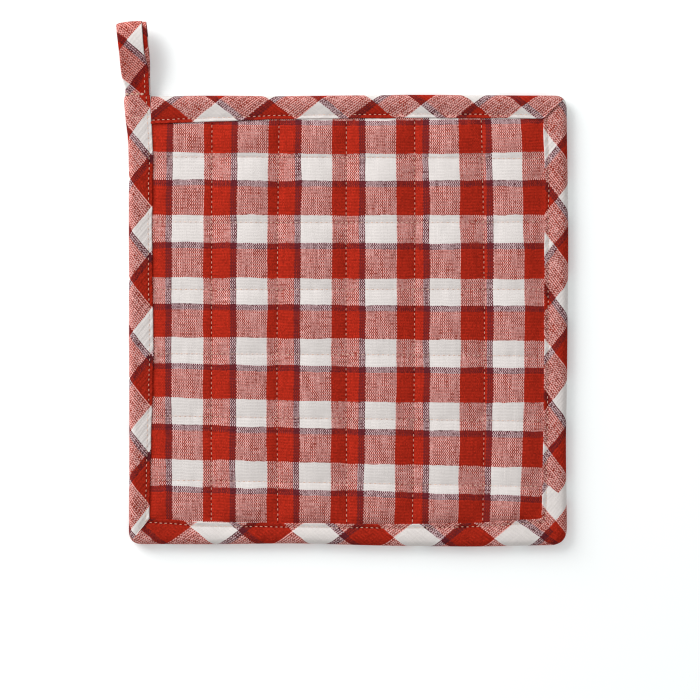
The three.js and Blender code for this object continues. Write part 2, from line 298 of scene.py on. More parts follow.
class Shade:
    """A value in a material's node tree. Arithmetic adds Math nodes, and add() any other node. feed()
    links Shades to a node's inputs and sets plain values on them. size() drops the sign, clamped()
    keeps a value from 0 to 1, and blend() mixes or multiplies two colours by a share."""

    def __init__(self, tree, socket=None):
        self.tree = tree
        self.socket = socket

    def add(self, kind, settings=None, inputs=None, output=0):
        node = self.tree.nodes.new(kind)
        for name, value in (settings or {}).items():
            setattr(node, name, value)
        self.feed(node, inputs or {})
        return Shade(self.tree, node.outputs[output])

    def feed(self, node, inputs):
        for name, value in inputs.items():
            if isinstance(value, Shade):
                self.tree.links.new(value.socket, node.inputs[name])
            else:
                node.inputs[name].default_value = value

    def math(self, operation, *values):
        return self.add("ShaderNodeMath", {"operation": operation}, dict(enumerate(values)))

    def floor(self):
        return self.math("FLOOR", self)

    def sine(self):
        return self.math("SINE", self)

    def size(self):
        return self.math("ABSOLUTE", self)

    def square(self):
        return self.math("MULTIPLY", self, self)

    def clamped(self):
        return self.add("ShaderNodeClamp", None, {"Value": self})

    def blend(self, share, first, second, kind="MIX"):
        settings = {"data_type": "RGBA", "blend_type": kind}
        return self.add("ShaderNodeMix", settings, {0: share, 6: first, 7: second}, 2)

    def __add__(self, other):
        return self.math("ADD", self, other)

    def __sub__(self, other):
        return self.math("SUBTRACT", self, other)

    def __rsub__(self, other):
        return self.math("SUBTRACT", other, self)

    def __mul__(self, other):
        return self.math("MULTIPLY", self, other)

    def __mod__(self, other):
        return self.math("FLOORED_MODULO", self, other)

    def __gt__(self, other):
        return self.math("GREATER_THAN", self, other)

    __radd__ = __add__
    __rmul__ = __mul__


def new_material(name):
    """A material, its main shader, and a Shade without a socket to start its nodes from."""
    material = bpy.data.materials.new(name)
    material.use_nodes = True
    tree = material.node_tree
    return material, tree.nodes["Principled BSDF"], Shade(tree)


# The yarns' colours, and the tint that a yarn of each colour gives to the one that lies on it. The dark
# ends are deeper than the dark picks and stand a little higher.
WHITE_YARN = (0.705, 0.660, 0.637, 1)
RED_YARN = (0.408, 0.0385, 0.0162, 1)
DARK_PICK = (0.1675, 0.0289, 0.0374, 1)
DARK_END = (0.15, 0.0275, 0.034, 1)
WHITE_TINT = (1.0, 1.0, 1.0, 1)
RED_TINT = (1.0, 0.088, 0.036, 1)
DARK_TINT = (0.54, 0.15, 0.23, 1)
# How the yarns lie: their drift off a straight course, the slubs along them and loose single crossings.
FLAT_NOISE = {"noise_dimensions": "2D"}
DRIFT_NOISE = {"Scale": 0.11, "Detail": 2.0}
DRIFT_YARNS = 1.1
SLUB_NOISE = {"Scale": 1.0, "Detail": 0.0}
SLUB_APART = 5.37
SLUB_PACE = 0.07
WEFT_SLUBS_FROM = 70
WARP_SLUB_LIFT = 0.8
WEFT_SLUB_LIFT = 0.4
LOOSE_LIFT = 0.5
DARK_STANDS = 0.15
YARN_EDGE = 6
# Painted light and shade in the cloth's colour, with its yarn tone: what a pale cloth passes on, and
# what slubs, steps, gaps and needle-hole spots change.
PALE_PASSES = 1.3
STEP_FADE = 1.6
SLUB_LIGHT = 0.12
SLUB_LIGHT_DEEP = 0.16
LOOSE_LIGHT = 0.40
PALE_ON_DARK_PAINTED_LIGHT = 0.18
DARK_ON_PALE_PAINTED_SHADE = 0.42
GAP_SHADE = 0.55
GAP_FLUSH = 0.5
GAP_STEPPED = 0.8
HOLE_SHADE = {"Red": 0.52, "Green": 0.85, "Blue": 0.85}
HOLE_REACH = 0.5
HOLE_FROM = 0.28
HOLE_EDGE = 8
HOLE_ALONG = 0.2
HOLE_FULL = 1.25
HOLE_PALE = 1.6
WEAVE_BUMP = {"Strength": 0.45, "Distance": 0.00016}
GAP_ROUGHNESS = 0.97
YARN_SMOOTHER = 0.10
COTTON_SPECULAR = 0.06
# The pad's cloth: how far yarns weave, how far every second end stands up, its level of painted light,
# how much painted shade deep colours take, and how strong the tint from below is.
PAD_CLOTH = {"weave": 1.0, "ribs": 0.7, "bright": 1.0, "deep": 0.0, "tint": 0.5}


def needle_hole_shade(start, seam):
    """How much painted shade lies where the needle drew the cloth in: falling off with the square of the
    distance from the seam's line, a little all along it and fully between its stitches."""
    place = {"Vector": start.add("ShaderNodeUVMap", {"uv_map": seam})}
    off = start.add("ShaderNodeSeparateXYZ", None, place, "X") * (1 / HOLE_REACH)
    stitches = start.add("ShaderNodeSeparateXYZ", None, place, "Y")
    from_middle = (stitches % 1 - 0.5).size()
    between = ((from_middle - HOLE_FROM) * HOLE_EDGE).clamped()
    return (1 - off.square()).clamped() * (HOLE_ALONG + (1 - HOLE_ALONG) * between)


def checked_cotton(name, seams, weave, ribs, bright, deep, tint):
    """Plain weave, yarn by yarn. The UV map counts yarns, so whole numbers part them. Each yarn has
    its band's colour, warp and weft pass over each other by turns as a product of two sines, and the
    yarn on top is tinted by the one below it. Yarns and their single crossings differ a little, as
    slubby cotton does. Painted shade in the gaps and at the needle-hole spots, less on pale yarns that
    pass light on, painted shade on dark yarns lying on pale ones and painted light on pale yarns lying
    on dark ones are multiplied into the colour, at a level of painted light set by bright and deep."""
    material, shader, start = new_material(name)
    counts = {"Vector": start.add("ShaderNodeUVMap", {"uv_map": "yarn_counts"})}
    drift = start.add("ShaderNodeTexNoise", FLAT_NOISE, {**counts, **DRIFT_NOISE})
    drift = (drift - 0.5) * DRIFT_YARNS
    ends = start.add("ShaderNodeSeparateXYZ", None, counts, "X") + drift
    picks = start.add("ShaderNodeSeparateXYZ", None, counts, "Y") - drift
    end = ends.floor()
    pick = picks.floor()
    in_warp = end % WARP_REPEAT
    in_weft = pick % WEFT_REPEAT
    red_end = in_warp > WHITE_ENDS - 0.5
    dark_end = in_warp > WHITE_ENDS + RED_ENDS - 0.5
    dark_pick = in_weft > WHITE_PICKS - 0.5
    red_pick = in_weft > WHITE_PICKS + DARK_PICKS - 0.5

    def banded(white, red, ends_dark, picks_dark):
        """A colour for the warp and one for the weft at each place, each in its own bands."""
        warp = start.blend(dark_end, start.blend(red_end, white, red), ends_dark)
        weft = start.blend(red_pick, start.blend(dark_pick, white, picks_dark), red)
        return warp, weft

    warp, weft = banded(WHITE_YARN, RED_YARN, DARK_END, DARK_PICK)
    warp_tint, weft_tint = banded(WHITE_TINT, RED_TINT, DARK_TINT, DARK_TINT)

    along_end = {"X": end * SLUB_APART, "Y": picks * SLUB_PACE}
    along_pick = {"X": ends * SLUB_PACE, "Y": pick * SLUB_APART + WEFT_SLUBS_FROM}
    warp_place = {"Vector": start.add("ShaderNodeCombineXYZ", None, along_end)}
    weft_place = {"Vector": start.add("ShaderNodeCombineXYZ", None, along_pick)}
    crossing = {"Vector": start.add("ShaderNodeCombineXYZ", None, {"X": end, "Y": pick})}
    warp_thick = start.add("ShaderNodeTexNoise", FLAT_NOISE, {**warp_place, **SLUB_NOISE}) - 0.5
    weft_thick = start.add("ShaderNodeTexNoise", FLAT_NOISE, {**weft_place, **SLUB_NOISE}) - 0.5
    loose = start.add("ShaderNodeTexWhiteNoise", FLAT_NOISE, crossing, "Value") - 0.5
    over = (ends * np.pi).sine() * (picks * np.pi).sine()
    lift = weave * over + ribs * (end % 2 - 0.5)
    lift = lift + WARP_SLUB_LIFT * warp_thick - WEFT_SLUB_LIFT * weft_thick + LOOSE_LIFT * loose
    lift = lift + DARK_STANDS * dark_end
    warp_shows = (lift * YARN_EDGE + 0.5).clamped()
    top = start.blend(warp_shows, weft, warp)
    below = start.blend(warp_shows, warp, weft)
    below_tint = start.blend(warp_shows, warp_tint, weft_tint)
    cloth = start.blend(tint, top, below_tint, "MULTIPLY")

    gap = (1 - lift.size()).clamped().square()
    relief = 1 - gap
    thick_one = warp_thick * warp_shows + weft_thick * (1 - warp_shows)
    pale, pale_top, pale_below = (
        start.add("ShaderNodeSeparateColor", None, {"Color": part}, "Green")
        for part in (cloth, top, below)
    )
    stands = (pale_top - pale_below).clamped()
    sinks = (pale_below - pale_top).clamped()
    swallowed = 1 - PALE_PASSES * pale
    plain = (1 - STEP_FADE * (stands + sinks)).clamped()
    # The cloth's level of painted light, with painted shade taken off deep colours where crossing yarns
    # match.
    light = bright - deep * swallowed * plain
    light = light + (SLUB_LIGHT + SLUB_LIGHT_DEEP * swallowed) * thick_one
    light = light + LOOSE_LIGHT * loose * swallowed.square().square()
    # Painted light on pale yarns lying on dark ones, painted shade on dark yarns lying on pale ones.
    light = light * (1 + PALE_ON_DARK_PAINTED_LIGHT * stands - DARK_ON_PALE_PAINTED_SHADE * sinks)
    # Painted shade in the gaps between yarns, deeper where the crossing yarns differ in colour.
    painted_gap_shade = gap * (GAP_FLUSH + GAP_STEPPED * (stands + sinks))
    light = light * (1 - GAP_SHADE * painted_gap_shade * swallowed).clamped()
    channels = {channel: light for channel in HOLE_SHADE}
    # Painted shade at the needle-hole spots along the seams: less deep in red than in green and blue, so
    # red cloth darkens towards dark red.
    if seams:
        painted_hole_shade = sum(needle_hole_shade(start, seam) for seam in seams).clamped()
        painted_hole_shade = painted_hole_shade * (HOLE_FULL - HOLE_PALE * pale).clamped()
        channels = {channel: light * (1 - shade * painted_hole_shade) for channel, shade in HOLE_SHADE.items()}
    # The painted light and shade, with the yarns' random tone, multiplied into the cloth's colour.
    painted_light_and_tone = start.add("ShaderNodeCombineColor", None, channels)
    colour = start.blend(1.0, cloth, painted_light_and_tone, "MULTIPLY")
    roughness = GAP_ROUGHNESS - YARN_SMOOTHER * relief
    bump = start.add("ShaderNodeBump", None, {**WEAVE_BUMP, "Height": relief}, "Normal")
    start.feed(shader, {"Base Color": colour, "Roughness": roughness, "Normal": bump})
    start.feed(shader, {"Specular IOR Level": COTTON_SPECULAR})
    return material


columns_cell, columns_share = grid_lines(PUFF_COLUMNS)
rows_cell, rows_share = grid_lines(PUFF_ROWS)
straight_levels = borders_up(np.zeros(1))[:, 0]
straight_y = straight_levels[rows_cell] + rows_share * np.diff(straight_levels)[rows_cell]
borders = borders_across(straight_y)
pad_x = (borders[columns_cell] + columns_share[:, None] * np.diff(borders, axis=0)[columns_cell]).T
levels = borders_up(pad_x)
row_at, column_at = np.indices(pad_x.shape)
pad_y = levels[rows_cell[:, None], row_at, column_at]
pad_y = pad_y + rows_share[:, None] * np.diff(levels, axis=0)[rows_cell[:, None], row_at, column_at]

swell_up = puff(rows_cell, rows_share, PUFF_ROWS)[:, None]
swell_across = puff(columns_cell, columns_share, PUFF_COLUMNS)[None, :]
stand = swell_up * swell_across
each_puff = np.random.default_rng(5).standard_normal((PUFF_ROWS + 2, PUFF_COLUMNS + 2))
uneven = PUFF_UNEVENNESS * each_puff[rows_cell[:, None], columns_cell]
uneven = uneven + RUMPLE_HEIGHT * rumple(pad_x, pad_y, RUMPLE_LENGTH, seed=3)
ripple = puckers(pad_y, columns_cell, columns_share, seed=11)
ripple = ripple + puckers(pad_x.T, rows_cell, rows_share, seed=12).T
dip_up = edge_dip(rows_cell, rows_share, PUFF_ROWS)[:, None]
dip = np.maximum(dip_up, edge_dip(columns_cell, columns_share, PUFF_COLUMNS))
flat_left = LEFT_FULLNESS * swell_across**LEFT_PLATEAU
front_across = np.where(columns_cell == 1, flat_left, swell_across)
hollow = UP_LINE_DEPTH * (1 - front_across) + ACROSS_LINE_DEPTH * (1 - swell_up) * front_across
pad_front = PAD_CROWN - hollow + PUCKER_HEIGHT * ripple + uneven * stand
from_left = (pad_x - borders[1][:, None]).clip(0)
rim_top = RIM_TOP - LEFT_RIM_DROP * np.exp(-from_left / LEFT_RIM_REACH)
pad_front = pad_front + (rim_top - pad_front) * dip
back_seam = BACK_SEAM + (RIM_BOTTOM - BACK_SEAM) * dip
pad_back = np.maximum(0, back_seam * (1 - stand / BACK_FLAT_FROM))
front_grid = placed(pad_x, pad_y, pad_front)
back_grid = placed(pad_x, pad_y, pad_back)

number = np.arange(pad_x.size).reshape(pad_x.shape)
face_grid = grid_faces(number)
rim = np.concatenate([number[0, :-1], number[:-1, -1], number[-1, :0:-1], number[:0:-1, 0]])
under = rim + number.size
walls = np.stack([rim, under, np.roll(under, -1), np.roll(rim, -1)], axis=-1)
pad_faces = np.concatenate([face_grid, face_grid[:, ::-1] + number.size, walls])
seams_across = seam_map(pad_y.T, pad_x.T, rows_cell, rows_share, PUFF_ROWS)
pad_maps = {
    "yarn_counts": check_counts(pad_x, pad_y),
    "seams_up": seam_map(pad_x, pad_y, columns_cell, columns_share, PUFF_COLUMNS),
    "seams_across": seams_across.transpose(1, 0, 2),
}
pad = make_piece(
    "quilted_check_pad",
    np.concatenate([front_grid, back_grid]),
    pad_faces.tolist(),
    checked_cotton("checked_cotton_pad", ["seams_up", "seams_across"], **PAD_CLOTH),
    {name: np.tile(pairs.reshape(-1, 2), (2, 1))[pad_faces] for name, pairs in pad_maps.items()},
)
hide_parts("quilted_pad")
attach(pad, "root")

# The bias binding: a strip of the same check cut slantwise, folded over the raw edges as a U and
# sewn through both of its flaps. It starts at the top left, is folded into mitres at two corners
# and eased round the third, and has one slanting join low on the right side.
TAPE = 0.9
BINDING_HEIGHT = 5.8
BACK_FLAP = 0.94
CORNERS = {
    "top_right": ("right", 93, "top", 90),
    "bottom_right": ("right", -92, "bottom", 90),
    "bottom_left": ("left", -92, "bottom", -92),
}
CORNER_RADIUS = {"top_right": 6.0, "bottom_right": 8.3, "bottom_left": 6.2}
INNER_RADIUS = 1.0
JOIN_AT = (-83.4, -74.2)
START_AT = 97.0
END_PAST_TOP = 0.4
# The tape's cloth: a little less painted light than the pad's, and painted shade on its deep colours.
TAPE_CLOTH = {"weave": 0.65, "ribs": 0.75, "bright": 0.955, "deep": 0.11, "tint": 0.5}
# The stations along the tape and the points across it: close by the sewn edges, which are rounded.
STEP_ALONG = 0.95
CORNER_STEPS = 26
EDGE_STEPS = np.array([0, 0.35, 0.8, 1.3, 1.8, 2.4, 3.2])
STITCH_LINE = 4
FLAP_STEPS = 8
FOLD_STEPS = 13
EDGE_ROUNDING = 0.3
# How the front flap falls from its fold to its stitching. On the left it leans evenly instead, and
# beside the loop it is level.
DROP_FROM = 4.0
DROP_ENDS_BEFORE = 2.0
FLAP_DROP = 0.75
LEFT_LEAN_FROM = 3.0
LEFT_DROP = 1.0
CHANGE_OVER = 9
STITCH_DRAW = 0.38
LEFT_DRAW = 0.08
GROOVE_REACH = 0.7
ROOT_DRAW = 0.9
ROOT_REACH = 0.9
# The drag lines that slant into the stitching, the lips of the mitres and the waves of the sewn edge.
DRAG_HEIGHT = 0.16
DRAG_LENGTH = 9
DRAG_SLANT = 0.4
FINE_DRAG_HEIGHT = 0.10
FINE_DRAG_LENGTH = 5.3
DRAG_FULL = 1.3
DRAG_REACH = 7
LIP_HEIGHT = 0.6
LIP_REACH = 4.5
LIP_HOLLOW = 0.55
LIP_HOLLOW_REACH = 1.0
LIP_FROM_FOLD = 3
EDGE_WAVE = 0.22
EDGE_WAVE_LENGTH = 17
EDGE_WAVE_SLANT = 0.3
EDGE_WAVE_FROM = 6
# Where the white diamonds of the slanting check lie: along each stretch of tape, and inwards from
# its folded edge. They repeat every 47 mm or so along it and 37 mm across it. The first one of the
# bottom would lie beyond the corner and sets how the check runs into it.
ACROSS_REPEAT = 37.0
WHITES = {
    "top": {"along": [-60.9, -13.1, 34.2, 80.9], "inwards": [12.0, 11.2, 13.6, 13.9]},
    "right": {"along": [80.4, 34.7, -13.0, -60.1], "inwards": [13.4, 15.3, 16.2, 16.9]},
    "low_right": {"along": [-82.8, -126.8], "inwards": [5.1, 5.1]},
    "bottom": {"along": [122.3, 78.4, 31.8, -14.8, -62.0], "inwards": [8.0, 3.4, 3.4, 5.1, 7.5]},
    "left": {"along": [-96.2, -50.2, -4.6, 41.9, 87.6], "inwards": [9.7, 9.5, 10.6, 10.2, 11.3]},
}
WHITE_MIDDLE = (15.5, 9.0)
TABLE_GOES_ON = 9


def sharp_corner(upright, upright_at, level, level_at, column):
    """Where an upright and a level edge would meet."""
    return np.array([edge(upright, column, upright_at), edge(level, column, level_at)])


outer_corners = {name: sharp_corner(*sides, "outer") for name, sides in CORNERS.items()}
inner_corners = {name: sharp_corner(*sides, "inner") for name, sides in CORNERS.items()}


def beside_corner(corner, axis, sign):
    """Where a straight stretch meets a corner's curve, on its folded and on its sewn edge: off the
    sharp corner by the curve's radius."""
    outer = outer_corners[corner][axis] + sign * CORNER_RADIUS[corner]
    return outer, inner_corners[corner][axis] + sign * INNER_RADIUS


def side_run(side, start, end):
    """A straight stretch at even steps: its folded edge, its sewn edge and how far apart they are.
    start and end give a place along the side for each of the two edges."""
    count = int(abs(end[0] - start[0]) / STEP_ALONG) + 2
    outer_at = np.linspace(start[0], end[0], count)
    inner_at = np.linspace(start[1], end[1], count)
    outer = np.stack([outer_at, edge(side, "outer", outer_at)], axis=-1)
    inner = np.stack([inner_at, edge(side, "inner", inner_at)], axis=-1)
    width = np.abs(outer[:, 1] - inner[:, 1])
    if side in ("left", "right"):
        outer, inner = outer[:, ::-1], inner[:, ::-1]
    return outer, inner, width


def corner_run(before, after, corner):
    """The same round a corner: each edge is a parabola from the end of one stretch to the start of
    the next, drawn towards its own sharp corner."""
    share = np.linspace(0, 1, CORNER_STEPS)[1:-1, None]

    def turned(start, sharp, end):
        """The parabola's points between its two ends."""
        return (1 - share) ** 2 * start + 2 * share * (1 - share) * sharp + share**2 * end

    outer = turned(before[0][-1], outer_corners[corner], after[0][0])
    inner = turned(before[1][-1], inner_corners[corner], after[1][0])
    return outer, inner, np.linspace(before[2][-1], after[2][0], CORNER_STEPS)[1:-1]


def turn_extra(height):
    """How much longer the cloth is round a quarter of a fold than the fold's radius."""
    return np.pi / 2 * height / 2 - height / 2


def folded_tape(front, back, height, cloth):
    """The section of a folded tape at each place along it: from the sewn edge of the front flap to
    the fold, half a circle round it, and out along the back flap, as an outer and an inner skin.
    Gives the distances inwards from the fold, the heights, and the distances along the cloth."""
    radius = np.full_like(front, height / 2)[:, None]
    share = np.linspace(0, 1, FLAP_STEPS + 1)[1:]
    bend = np.pi * np.linspace(0, 1, FOLD_STEPS)[None, 1:-1]

    def flap(width):
        """Distances from the fold: close steps at the sewn edge, then even ones to the bend."""
        near = width[:, None] - EDGE_STEPS
        return np.concatenate([near, near[:, -1:] + (radius - near[:, -1:]) * share], axis=1)

    front_flap, back_flap = flap(front), flap(back)[:, ::-1]
    quarter = turn_extra(height)
    unrolled = [front_flap + quarter, radius * (np.pi / 2 - bend), -(back_flap + quarter)]
    unrolled = np.concatenate(unrolled, axis=1)

    def skin(skin_radius):
        """One face of the cloth: level, round the bend on its own radius, and level again."""
        level = np.ones_like(front_flap)
        curve = skin_radius * np.sin(bend)
        inwards = np.concatenate([front_flap, radius - curve, back_flap], axis=1)
        heights = np.concatenate([level, np.broadcast_to(np.cos(bend), curve.shape), -level], axis=1)
        return inwards, radius + skin_radius * heights

    outside = skin(radius)
    inside = skin(radius - cloth)
    for inwards, _ in (outside, inside):
        inwards[:, [0, -1]] -= cloth * EDGE_ROUNDING
    ends = [(outside[1][:, [k]] + inside[1][:, [k]]) / 2 for k in (0, -1)]
    tips = front[:, None], back[:, None]
    ring_inwards = [tips[0], outside[0], tips[1], inside[0][:, ::-1]]
    ring_heights = [ends[0], outside[1], ends[1], inside[1][:, ::-1]]
    ring_unrolled = [unrolled[:, :1], unrolled, unrolled[:, -1:], unrolled[:, ::-1]]
    return tuple(np.concatenate(part, axis=1) for part in (ring_inwards, ring_heights, ring_unrolled))


def tube_faces(stations, ring):
    """Faces of a section carried along its stations, closed round it and with both ends capped."""
    number = np.arange(stations * ring).reshape(stations, ring)
    wrapped = np.concatenate([number, number[:, :1]], axis=1)
    sides = grid_faces(wrapped)[:, [0, 3, 2, 1]]
    half = ring // 2
    strip = np.arange(1, half - 1)
    first = np.stack([strip, strip + 1, ring - strip - 1, ring - strip], axis=-1)
    tips = np.array([[0, 1, ring - 1], [half, half + 1, half - 1]])
    last = number[-1, 0]
    caps = [*first.tolist(), *tips.tolist()]
    caps += [*(first[:, ::-1] + last).tolist(), *(tips[:, ::-1] + last).tolist()]
    return sides, caps


def steady(at, places, values):
    """Straight between a table's rows, and on at the same slope beyond its first and last row."""
    places, values = np.asarray(places, float), np.asarray(values, float)

    def longer(row):
        """The row with one more value at either end, several steps on."""
        before = row[0] - TABLE_GOES_ON * (row[1] - row[0])
        beyond = row[-1] + TABLE_GOES_ON * (row[-1] - row[-2])
        return np.concatenate([[before], row, [beyond]])

    places, values = longer(places), longer(values)
    order = np.argsort(places)
    return np.interp(at, places[order], values[order])


def bias_counts(repeats, outwards, turned):
    """Warp and weft yarns on a strip cut at 45 degrees, from repeats along it and repeats out
    towards its fold. A strip that was joined on the other way round is turned by half a circle."""
    sign = -1 if turned else 1
    warp = WHITE_MIDDLE[0] + WARP_REPEAT * sign * (outwards - repeats)
    weft = WHITE_MIDDLE[1] + WEFT_REPEAT * sign * (outwards + repeats)
    return np.stack([warp, weft], axis=-1)


start_x = float(edge("left", "inner", START_AT))
left_end = EDGES["top"]["outer"][0] + END_PAST_TOP
run_top = side_run("top", (start_x, start_x), beside_corner("top_right", 0, -1))
run_right = side_run("right", beside_corner("top_right", 1, -1), JOIN_AT)
run_low_right = side_run("right", JOIN_AT, beside_corner("bottom_right", 1, 1))
run_bottom = side_run("bottom", beside_corner("bottom_right", 0, -1), beside_corner("bottom_left", 0, 1))
run_left = side_run("left", beside_corner("bottom_left", 1, 1), (left_end, left_end))
runs = [
    run_top,
    corner_run(run_top, run_right, "top_right"),
    run_right,
    tuple(part[1:] for part in run_low_right),
    corner_run(run_low_right, run_bottom, "bottom_right"),
    run_bottom,
    corner_run(run_bottom, run_left, "bottom_left"),
    run_left,
]
fold_line, sewn_line, flap_width = (np.concatenate(parts) for parts in zip(*runs))
ends = np.cumsum([len(run[0]) for run in runs])
half_turn = CORNER_STEPS // 2 - 1
first_of = {
    "right": ends[0] + half_turn,
    "low_right": ends[2] - 1,
    "bottom": ends[3] + half_turn,
    "left": ends[5] + half_turn,
}
middle_line = (fold_line + sewn_line) / 2
path = np.concatenate([[0], np.cumsum(np.hypot(*np.diff(middle_line, axis=0).T))])
fold_line[:, 0] += ROOT_DRAW * np.exp((path - path[-1]) / ROOT_REACH)

inwards, heights, unrolled = folded_tape(flap_width, flap_width * BACK_FLAP, BINDING_HEIGHT, TAPE)
width = flap_width[:, None]
front_side = heights > BINDING_HEIGHT / 2
from_edge = width * np.where(front_side, 1, BACK_FLAP) - inwards
from_seam = np.abs(from_edge - EDGE_STEPS[STITCH_LINE])
to_loop = np.clip((path[-1] - path) / CHANGE_OVER, 0, 1)[:, None]
on_left = np.clip((path - path[first_of["left"]]) / CHANGE_OVER, 0, 1)[:, None]
fall = np.clip((inwards - DROP_FROM) / np.maximum(width - DROP_FROM - DROP_ENDS_BEFORE, 1), 0, 1)
lean = np.clip((inwards - LEFT_LEAN_FROM) / (width - LEFT_LEAN_FROM), 0, 1)
drop = FLAP_DROP * fall**2 * (3 - 2 * fall) * (1 - on_left) + LEFT_DROP * lean * on_left
drop = drop * to_loop
groove = np.exp(-((from_seam / GROOVE_REACH) ** 2))
front_groove = (STITCH_DRAW + (LEFT_DRAW - STITCH_DRAW) * on_left) * groove
along = path[:, None]
drag = DRAG_HEIGHT * rumple(along + unrolled, along * DRAG_SLANT, DRAG_LENGTH, seed=21)
drag = drag + FINE_DRAG_HEIGHT * np.sin(2 * np.pi * (along - unrolled) / FINE_DRAG_LENGTH)
drag = drag * np.clip(DRAG_FULL - from_edge / DRAG_REACH, 0, 1)
front_change = (drag - front_groove) * to_loop - drop
heights = heights + np.where(front_side, front_change, STITCH_DRAW * groove)


def mitre_lip(middle_station, side):
    """The lip of a mitre fold: the tape on one side of the corner's middle line lies over the
    other, highest on that line and gone a centimetre away, with a hollow right beside it."""
    gap = (path - path[middle_station]) * side
    hollow = -LIP_HOLLOW * np.exp(gap / LIP_HOLLOW_REACH)
    return np.where(gap >= 0, LIP_HEIGHT * np.exp(-gap / LIP_REACH), hollow)


lips = (mitre_lip(first_of["right"], -1) + mitre_lip(first_of["left"], -1))[:, None]
heights = heights + np.where(front_side, lips, 0) * np.clip(inwards / LIP_FROM_FOLD, 0, 1)
wave = EDGE_WAVE * rumple(path, path * EDGE_WAVE_SLANT, EDGE_WAVE_LENGTH, seed=8)
share_in = inwards / width * (1 + (wave / flap_width)[:, None] * (inwards > EDGE_WAVE_FROM))
spot = fold_line[:, None, :] + (sewn_line - fold_line)[:, None, :] * share_in[:, :, None]
binding_points = placed(spot[..., 0], spot[..., 1], heights)


def tape_counts(name):
    """Yarn counts for all stations as one stretch of tape lies, straight on through its mitres: the
    places along it and inwards from its own folded edge, measured from its white diamonds."""
    whites = WHITES[name]
    side = "right" if name == "low_right" else name
    row, column = (0, 1) if side in ("top", "bottom") else (1, 0)
    sign = 1 if side in ("top", "right") else -1
    outer_gap = sign * (edge(side, "outer", fold_line[:, row]) - fold_line[:, column])
    inner_gap = sign * (edge(side, "outer", sewn_line[:, row]) - sewn_line[:, column])
    depth = outer_gap[:, None] + unrolled * ((inner_gap - outer_gap) / flap_width)[:, None]
    repeats = steady(spot[..., row], whites["along"], np.arange(len(whites["along"])))
    white_depth = steady(spot[..., row], whites["along"], whites["inwards"])
    outwards = (white_depth + turn_extra(BINDING_HEIGHT) - depth) / ACROSS_REPEAT
    return bias_counts(repeats, outwards, turned=name not in ("top", "right"))


ring = unrolled.shape[1]
sides, caps = tube_faces(len(path), ring)
stretch = np.searchsorted(list(first_of.values()), sides[:, 0] // ring, side="right")
all_counts = np.stack([tape_counts(name).reshape(-1, 2) for name in WHITES])
side_counts = all_counts[stretch[:, None], sides]
cap_corners = np.concatenate([np.array(cap) for cap in caps])
cap_counts = all_counts[np.where(cap_corners < ring, 0, -1), cap_corners]
# The rows of points under the stitching, counted round the section from the front flap's tip and back
# from the last point of the back flap.
outer_points = 2 * (len(EDGE_STEPS) + FLAP_STEPS) + FOLD_STEPS - 2
front_row = 1 + STITCH_LINE
back_row = outer_points - STITCH_LINE
sewn_places = np.where(front_side[..., None], spot[:, [front_row]], spot[:, [back_row]])
sewn_steps = np.linalg.norm(np.diff(sewn_places, axis=0), axis=-1)
sewn_run = np.concatenate([np.zeros((1, ring)), np.cumsum(sewn_steps, axis=0)])
seam_pairs = np.stack([from_seam, sewn_run / STITCH_PITCH], axis=-1)
corners = np.concatenate([sides.ravel(), cap_corners])
binding = make_piece(
    "bias_binding_tape",
    binding_points,
    sides.tolist() + caps,
    checked_cotton("checked_cotton_binding", ["seam_along"], **TAPE_CLOTH),
    {
        "yarn_counts": np.concatenate([side_counts.reshape(-1, 2), cap_counts]),
        "seam_along": seam_pairs.reshape(-1, 2)[corners],
    },
)
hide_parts("bias_binding")
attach(binding, "root")

# The hanging loop: the tail of the same tape, folded shut, turned back on itself above the corner
# and sewn down across its root. Its under half is a little wider and shows along the right edge.
LOOP_TAPE = 1.6
LOOP_CLOTH = 0.72
LOOP_REACH = 34.1
LOOP_SHOULDER = 25.0
LOOP_ARCH = 11.2
LOOP_SPRING = 3.4
LOOP_LIFT = 1.2
LOOP_SLANT = 1.6
LOOP_SLANT_MIDDLE = 0.4
LOOP_SLANT_REACH = 4
LOOP_PRESS = 0.4
LOOP_PAST_TOP = 0.3
LOOP_STATIONS = 150
FRONT_LEG_POINTS = 60
BEND_POINTS = 40
LOOP_EDGES = {
    "along": [0, 4.2, 7, 9, 12, 15, 19, 29, 33],
    "left": [-102.9, -103.2, -104.0, -104.5, -104.9, -105.1, -105.4, -106.5, -106.9],
    "front": [-91.9, -91.9, -92.0, -92.0, -92.0, -93.0, -93.9, -94.7, -95.1],
    "right": [-91.7, -91.7, -91.7, -91.7, -91.7, -91.7, -91.9, -92.7, -93.1],
}
LOOP_WHITE = {"along": 26.3, "inwards": 14.3, "repeat": 42.6}
LOOP_TINT = 0.62
loop_root = EDGES["top"]["outer"][0] + LOOP_PAST_TOP


def smooth_bend(p0, p1, p2, p3, count):
    """A cubic curve from p0 to p3 that leaves towards p1 and arrives from p2."""
    share = np.linspace(0, 1, count)[:, None]
    rest = 1 - share
    points = (np.array(p) for p in (p0, p1, p2, p3))
    weights = (rest**3, 3 * rest**2 * share, 3 * rest * share**2, share**3)
    return sum(weight * point for weight, point in zip(weights, points))


def even_steps(line, count):
    """Points at even distances along a line of points, and those distances."""
    run = np.concatenate([[0], np.cumsum(np.linalg.norm(np.diff(line, axis=0), axis=1))])
    at = np.linspace(0, run[-1], count)
    return np.stack([np.interp(at, run, column) for column in line.T], axis=-1), at


